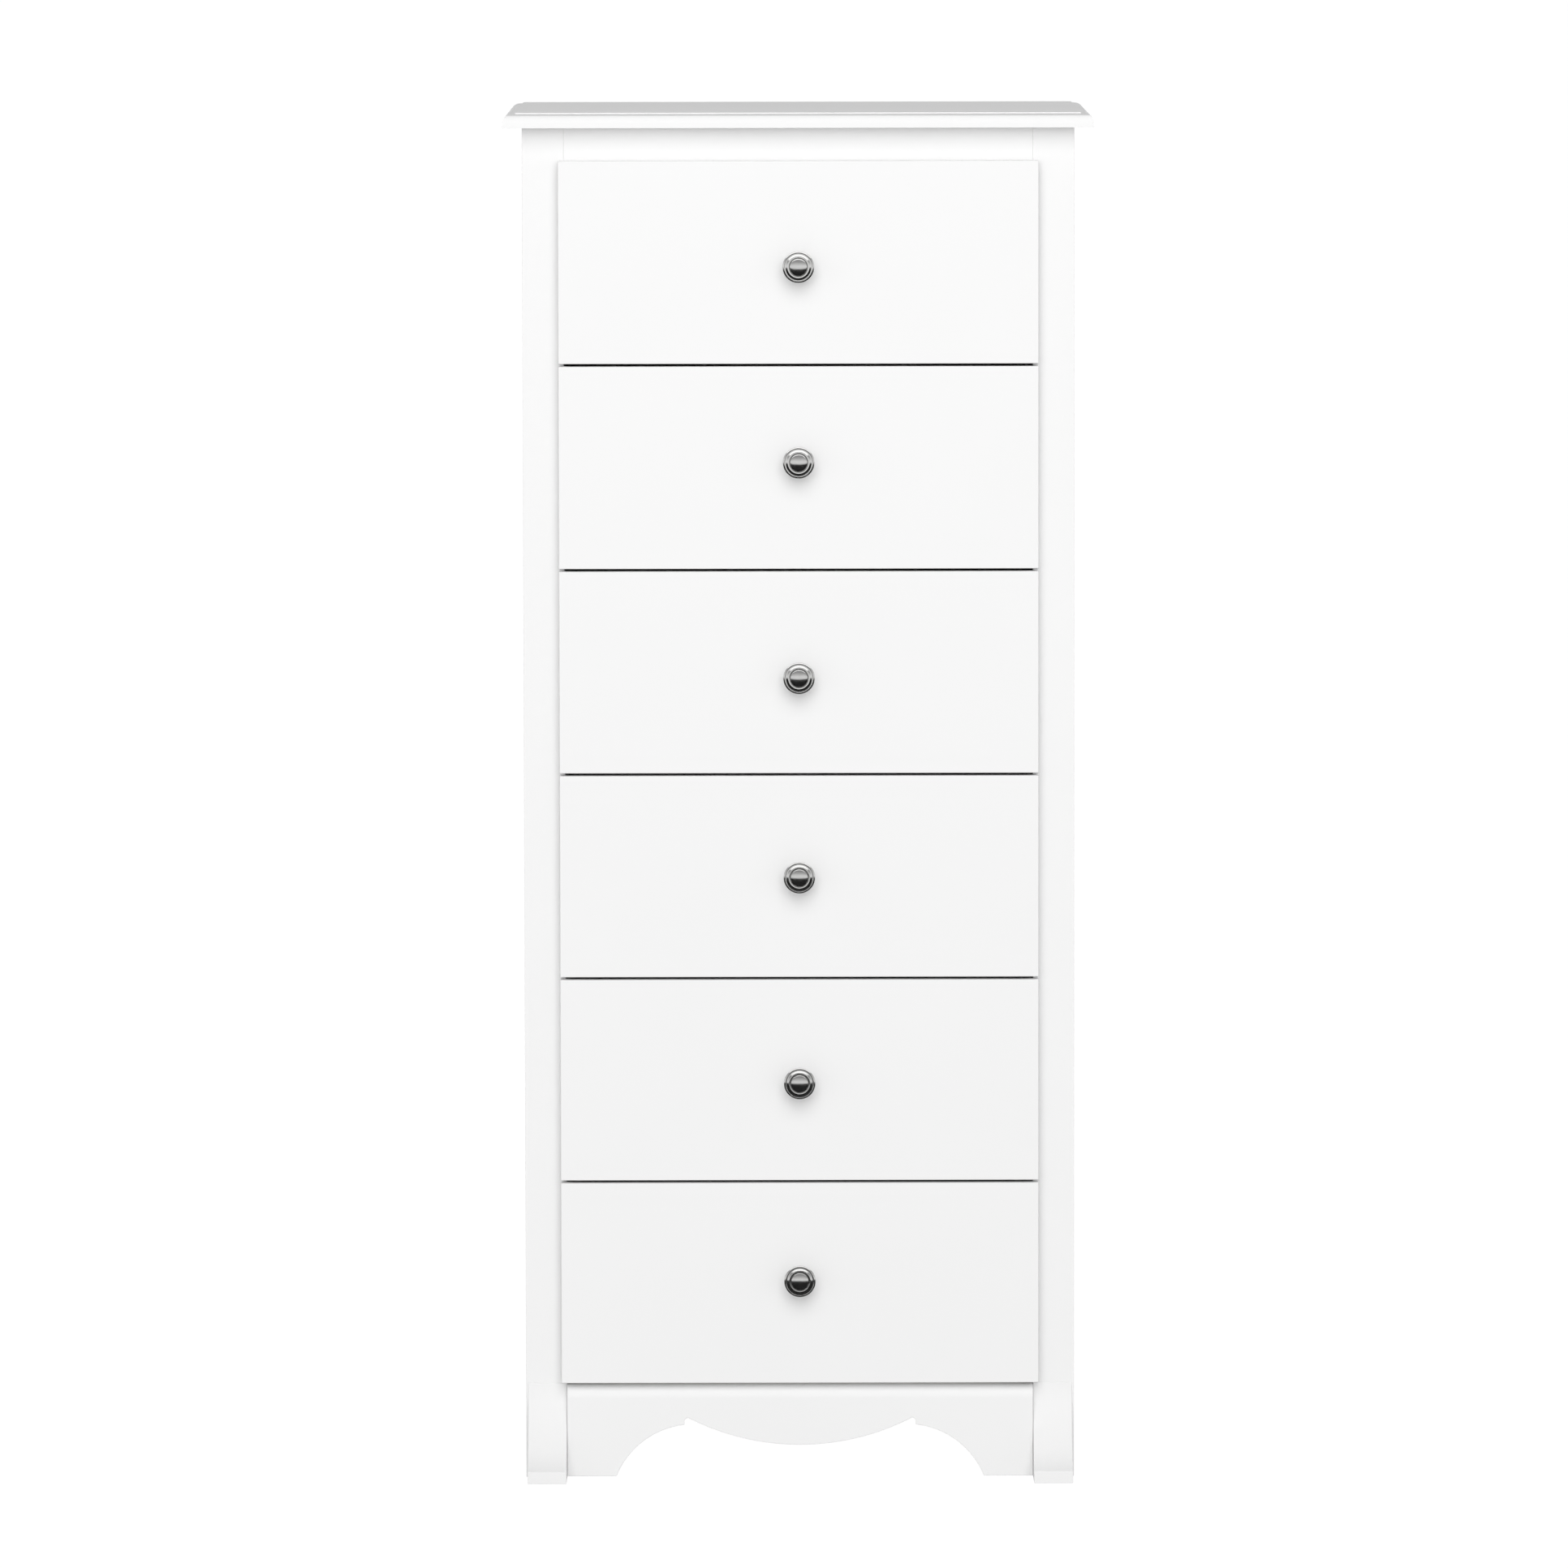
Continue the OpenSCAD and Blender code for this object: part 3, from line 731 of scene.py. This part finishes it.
# %% Fronts and boxes
for n in DRAWERS:
    body = f"drawer_{n}"
    for part, slot, material, width, ending in (
        ("front", "painted_board", PAINT, 1.0, "painted"),
        ("box", "box_board", FOIL, 0.5, "foiled"),
        ("bottom", "white_hardboard", HARDBOARD, 0.25, "coated"),
    ):
        node = f"{body}_{part}"
        eased_board(node, body, slot, material, width * MM, f"{node}_{ending}")

# %% [markdown]
# ## The knobs
# A knob is turned: a base, a thin neck, and a wide head with a bead at its rim, a hollow, a
# raised ring and a shallow dome. A lathe gives exactly what spin gives, one section swept
# round an axis. The section is written as radius and height above the drawer front, and each
# point's radius is kept as an attribute, so that the nickel's turning lines follow it.

# %% Knobs
KNOB_SECTION = [
    (0, 0), (8.0, 0), (8.0, 1.3), (7.6, 1.7), (6.7, 2.3), (6.2, 3.2), (6.0, 5.0), (6.0, 10.5),
    (6.3, 12.8), (7.4, 15.0), (10.0, 17.0), (13.2, 18.6), (15.2, 19.3), (15.75, 19.7), (15.9, 20.2),
    (15.8, 20.6), (15.5, 21.0), (15.05, 21.35), (14.6, 21.6), (14.25, 21.7), (14.05, 21.6),
    (13.9, 21.35), (13.75, 21.2), (12.95, 21.2), (12.75, 21.3), (12.0, 21.9), (11.2, 22.45),
    (10.95, 22.6), (10.75, 22.65), (9.75, 22.65), (9.55, 22.55), (9.42, 22.1), (9.35, 21.4),
    (9.1, 21.2), (8.9, 21.4), (8.8, 22.2), (8.65, 22.9), (8.3, 23.25), (7.4, 23.7), (6.0, 24.2),
    (4.4, 24.58), (2.8, 24.83), (1.4, 24.95), (0, 25.0),
]
TURNS = 72


def turned_knob(n):
    low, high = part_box(f"drawer_{n}_knob")
    axis_z = (low.z + high.z) / 2
    face_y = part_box(f"drawer_{n}_front")[0].y
    bm = bmesh.new()
    section = [bm.verts.new((0, face_y - h * MM, axis_z + r * MM)) for r, h in KNOB_SECTION]
    edges = [bm.edges.new(pair) for pair in zip(section, section[1:])]
    bmesh.ops.spin(
        bm, geom=section + edges, cent=(0, face_y, axis_z), axis=(0, 1, 0), angle=2 * pi,
        steps=TURNS, use_merge=True)
    bmesh.ops.remove_doubles(bm, verts=bm.verts, dist=SAME)
    bmesh.ops.recalc_face_normals(bm, faces=bm.faces)
    radius = bm.verts.layers.float.new("turning_radius")
    for vert in bm.verts:
        vert[radius] = hypot(vert.co.x, vert.co.z - axis_z)
    body = f"drawer_{n}"
    return finished(bm, f"{body}_knob_turned", body, "satin_nickel", NICKEL, f"{body}_knob")


for n in DRAWERS:
    turned_knob(n)

# %% [markdown]
# ## Knob screws
# A machine screw reaches each knob from inside the drawer. Its shank is hidden in the
# board, and its low domed head, with a crossed recess for the driver, shows inside the
# drawer when it is open. The head is a disc with its rim bevelled. Planes cut its flat into
# a grid, and the cells that form a cross are pushed in. A boolean cut would do it as well,
# but it is slower and leaves more to clean up.

# %% Screws
HEAD_RADIUS = 4.0 * MM
HEAD_HEIGHT = 2.6 * MM
SLOT_HALF = 0.45 * MM
SLOT_REACH = 2.1 * MM
SLOT_DEPTH = 1.2 * MM


def crossed_recess(bm):
    for axis in (Vector((1, 0, 0)), Vector((0, 1, 0))):
        for cut in (-SLOT_REACH, -SLOT_HALF, SLOT_HALF, SLOT_REACH):
            whole = bm.verts[:] + bm.edges[:] + bm.faces[:]
            bmesh.ops.bisect_plane(bm, geom=whole, dist=1e-7, plane_co=axis * cut, plane_no=axis)

    def in_cross(face):
        x, y, z = face.calc_center_median()
        short, long = sorted((abs(x), abs(y)))
        return z > 0.99 * HEAD_HEIGHT and short < SLOT_HALF and long < SLOT_REACH

    cross = [face for face in bm.faces if in_cross(face)]
    made = bmesh.ops.extrude_face_region(bm, geom=cross)["geom"]
    bmesh.ops.delete(bm, geom=cross, context="FACES")
    bmesh.ops.translate(bm, vec=(0, 0, -SLOT_DEPTH), verts=moved_verts(made))
    bmesh.ops.recalc_face_normals(bm, faces=bm.faces)


def knob_screw(n):
    low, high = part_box(f"drawer_{n}_knob")
    axis_z = (low.z + high.z) / 2
    back_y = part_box(f"drawer_{n}_front")[1].y
    bm = bmesh.new()
    bmesh.ops.create_circle(bm, cap_ends=True, segments=24, radius=HEAD_RADIUS)
    top = moved_verts(bmesh.ops.extrude_face_region(bm, geom=bm.faces[:])["geom"])
    bmesh.ops.translate(bm, vec=(0, 0, HEAD_HEIGHT), verts=top)
    bmesh.ops.recalc_face_normals(bm, faces=bm.faces)
    rim = [e for e in bm.edges if all(v.co.z > HEAD_HEIGHT / 2 for v in e.verts)]
    ease(bm, rim, 1.3 * MM, 5)
    crossed_recess(bm)
    turn = Matrix.Rotation(-pi / 2, 4, "X")
    bmesh.ops.transform(bm, matrix=Matrix.Translation((0, back_y, axis_z)) @ turn, verts=bm.verts)
    body = f"drawer_{n}"
    return finished(bm, f"{body}_knob_screw", body, "zinc", ZINC, f"{body}_knob")


for n in DRAWERS:
    knob_screw(n)

# %% [markdown]
# ## Runners, cams and rollers
# One CAD node holds a drawer's two steel runners and its cams, which have different
# finishes. A copy is made of each kind: the long solids are the runners and the short ones
# are the cams and their bolts. The parts on the case keep their CAD shape and only get their
# finish.

# %% Fittings
LONG = 0.1


def fittings(n):
    body = f"drawer_{n}"
    node = f"{body}_fittings"
    for name, slot, material, long_ones in (
        ("runners_coated", "coated_steel", COATED_STEEL, True),
        ("cams_plated", "zinc", ZINC, False),
    ):
        bm = merged(node)
        unwanted = [
            vert for solid in solids(bm) for vert in solid
            if (max(v.co.y for v in solid) - min(v.co.y for v in solid) > LONG) != long_ones
        ]
        bmesh.ops.delete(bm, geom=unwanted, context="VERTS")
        bm.edges.index_update()
        finished(bm, f"{body}_{name}", body, slot, material, node)


for n in DRAWERS:
    fittings(n)

# %% Finishes on the CAD nodes that stay
STAYING = {"case_runners": COATED_STEEL, "case_fasteners": ZINC}
STAYING |= {f"drawer_{n}_rollers": NYLON for n in DRAWERS}
STAYING |= {f"case_rollers_{n}": NYLON for n in DRAWERS}
for node, material in STAYING.items():
    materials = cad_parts[node].data.materials
    materials.clear()
    materials.append(material)
print("finished in place:", len(STAYING), "nodes")

# %% [markdown]
# ## The studio
# The chest stands on a white floor that runs out of view. The room is white round the
# horizon and greyer overhead, so that the top is a shade darker than the front. One large
# soft light stands in front, above the chest, and shines down on it. A studio also has cards
# that only the metal sees: here a white one overhead and a black one on the floor are seen
# by reflections alone, because polished metal looks like metal only when it has both to
# reflect.

# %% Cards and floor
def card_finish(name, grey, light):
    card = Finish(name, Roughness=0.8, Specular_IOR_Level=0.0, Emission_Strength=light)
    dust = card.noise(card.place(), 2.0)
    card.plug(Base_Color=card.colours(dust, (grey * 0.98,) * 3, (grey,) * 3))
    card.shader.inputs["Emission Color"].default_value = (1, 1, 1, 1)
    return card.material


def flat_card(name, width, length, place, material):
    bm = bmesh.new()
    bmesh.ops.create_grid(bm, x_segments=1, y_segments=1, size=0.5)
    bmesh.ops.scale(bm, vec=(width, length, 1), verts=bm.verts)
    bmesh.ops.translate(bm, vec=place, verts=bm.verts)
    mesh = bpy.data.meshes.new(name)
    bm.to_mesh(mesh)
    bm.free()
    mesh.materials.append(material)
    card = bpy.data.objects.new(name, mesh)
    bpy.context.scene.collection.objects.link(card)
    card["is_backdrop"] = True
    print(name, width, "by", length, "m")
    return card


floor = flat_card("floor", 2000, 2000, (0, 0, -0.5 * MM), card_finish("floor_white", 0.12, 0.97))
floor.visible_diffuse = False
for card in (
    flat_card("black_card", 30.0, 6.4, (0, -3.1, 1 * MM), card_finish("card_black", 0.01, 0.0)),
    flat_card("white_card", 8.0, 4.0, (0, -0.5, 4.0), card_finish("card_white", 0.8, 1.2)),
):
    card.visible_camera = False
    card.visible_diffuse = False
    card.visible_shadow = False
    card.visible_transmission = False

# %% Room
class Room(Finish):
    """The world, whose nodes are made in the same way."""

    def __init__(self, name):
        world = bpy.data.worlds.new(name)
        world.use_nodes = True
        bpy.context.scene.world = world
        self.tree = world.node_tree
        self.shader = self.tree.nodes["Background"]
        self.shader.inputs["Color"].default_value = (1, 1, 1, 1)


# Light from straight below (0), the horizon (0.5) and straight above (1)
ROOM_LIGHT = [(0.0, 0.62), (0.475, 0.66), (0.485, 1.02), (0.55, 1.02), (0.7, 0.5), (1.0, 0.14)]
room = Room("room")
looking = room.node("ShaderNodeTexCoord", {}, {}, "Generated")
upward = room.node("ShaderNodeSeparateXYZ", {}, {"Vector": looking}, "Z")
room.plug(Strength=room.ramp(0.5 + 0.5 * upward, ROOM_LIGHT))
print("room ready")

# %% Soft light
LAMP_PLACE = Vector((0.0, -7.0, 4.4))
LAMP_AIM = Vector((0.0, 0.0, 0.8))
LAMP_WIDTH, LAMP_HEIGHT, LAMP_WATTS = 6.0, 7.0, 388.0
lamp = bpy.data.objects.new("front_softbox", bpy.data.lights.new("front_softbox", "AREA"))
bpy.context.scene.collection.objects.link(lamp)
lamp.data.shape = "RECTANGLE"
lamp.data.size = LAMP_WIDTH
lamp.data.size_y = LAMP_HEIGHT
lamp.data.energy = LAMP_WATTS
lamp.visible_glossy = False
lamp.location = LAMP_PLACE
lamp.rotation_euler = (LAMP_AIM - LAMP_PLACE).to_track_quat("-Z", "Y").to_euler()
bpy.context.scene.view_settings.view_transform = "Standard"
print("lit by", lamp.name, "and the room")

# %% [markdown]
# ## The visual box
# The script ends by printing the box, in metres, of everything that renders.

# %% Visual box
low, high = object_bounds()
print("visual box in metres:", [round(v, 4) for v in (*low, *high)])
